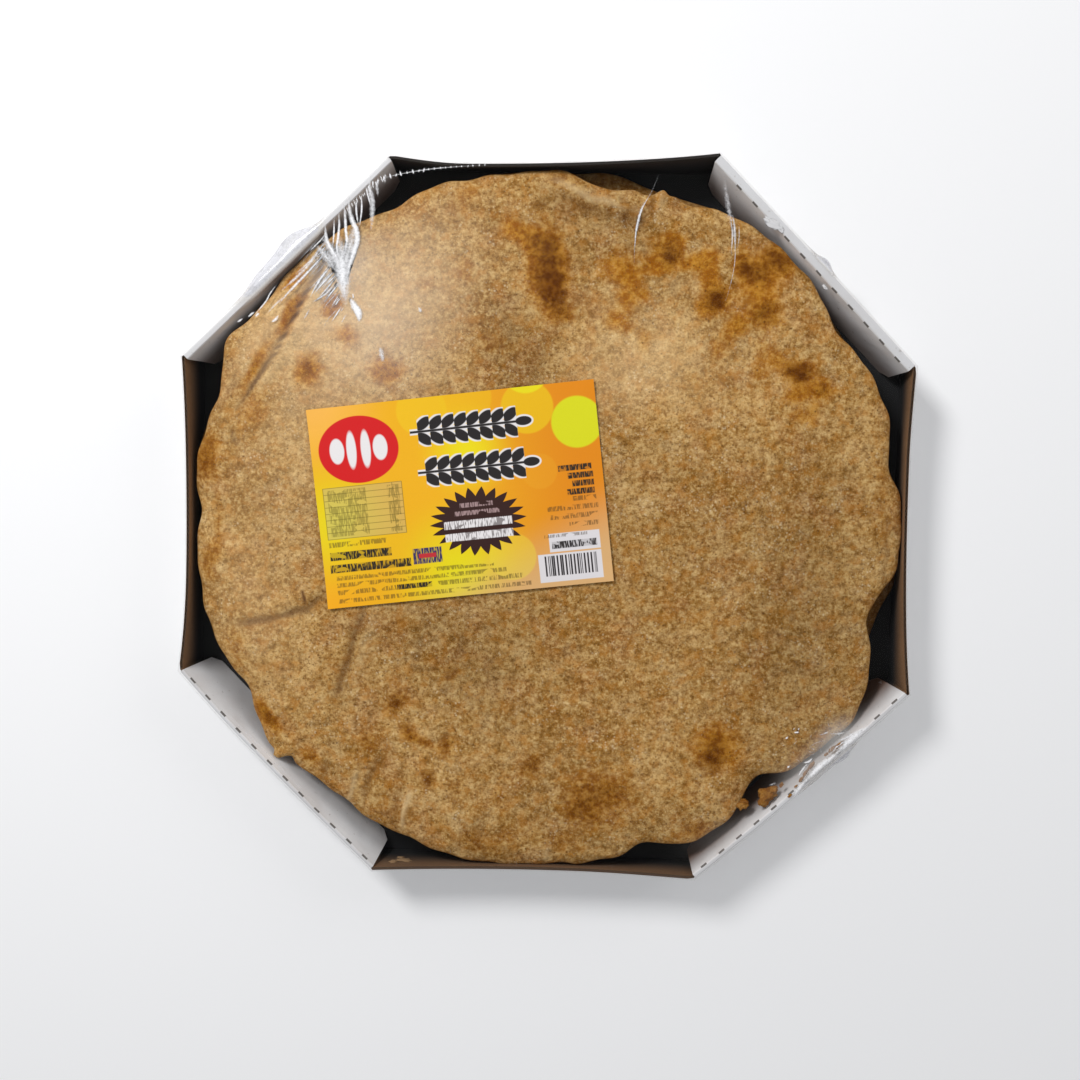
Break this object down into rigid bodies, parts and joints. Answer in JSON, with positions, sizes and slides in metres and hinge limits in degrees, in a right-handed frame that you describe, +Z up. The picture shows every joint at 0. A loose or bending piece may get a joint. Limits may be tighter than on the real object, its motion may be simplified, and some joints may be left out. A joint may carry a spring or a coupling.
{
  "type": "wrapped barley naan bread",
  "caption": "Large round barley naan breads stacked in a shallow eight-sided board tray, wrapped tight in clear film, with a paper card on top.",
  "frame": {"origin": "middle of the tray's underside, on the surface the pack lies on", "axes": "+Z up through the bread's top; +X to the right and +Y to the far side, as the pack is seen from above with its card left of the middle"},
  "size_m": [0.3801, 0.374, 0.0339],
  "materials": {
    "board": "matte",
    "crust": "matte",
    "film": "gloss",
    "label": "satin"
  },
  "bodies": {
    "root": {"tray": "board", "naan_lower": "crust", "naan_upper": "crust", "film": "film", "label": "label"}
  },
  "joints": []
}
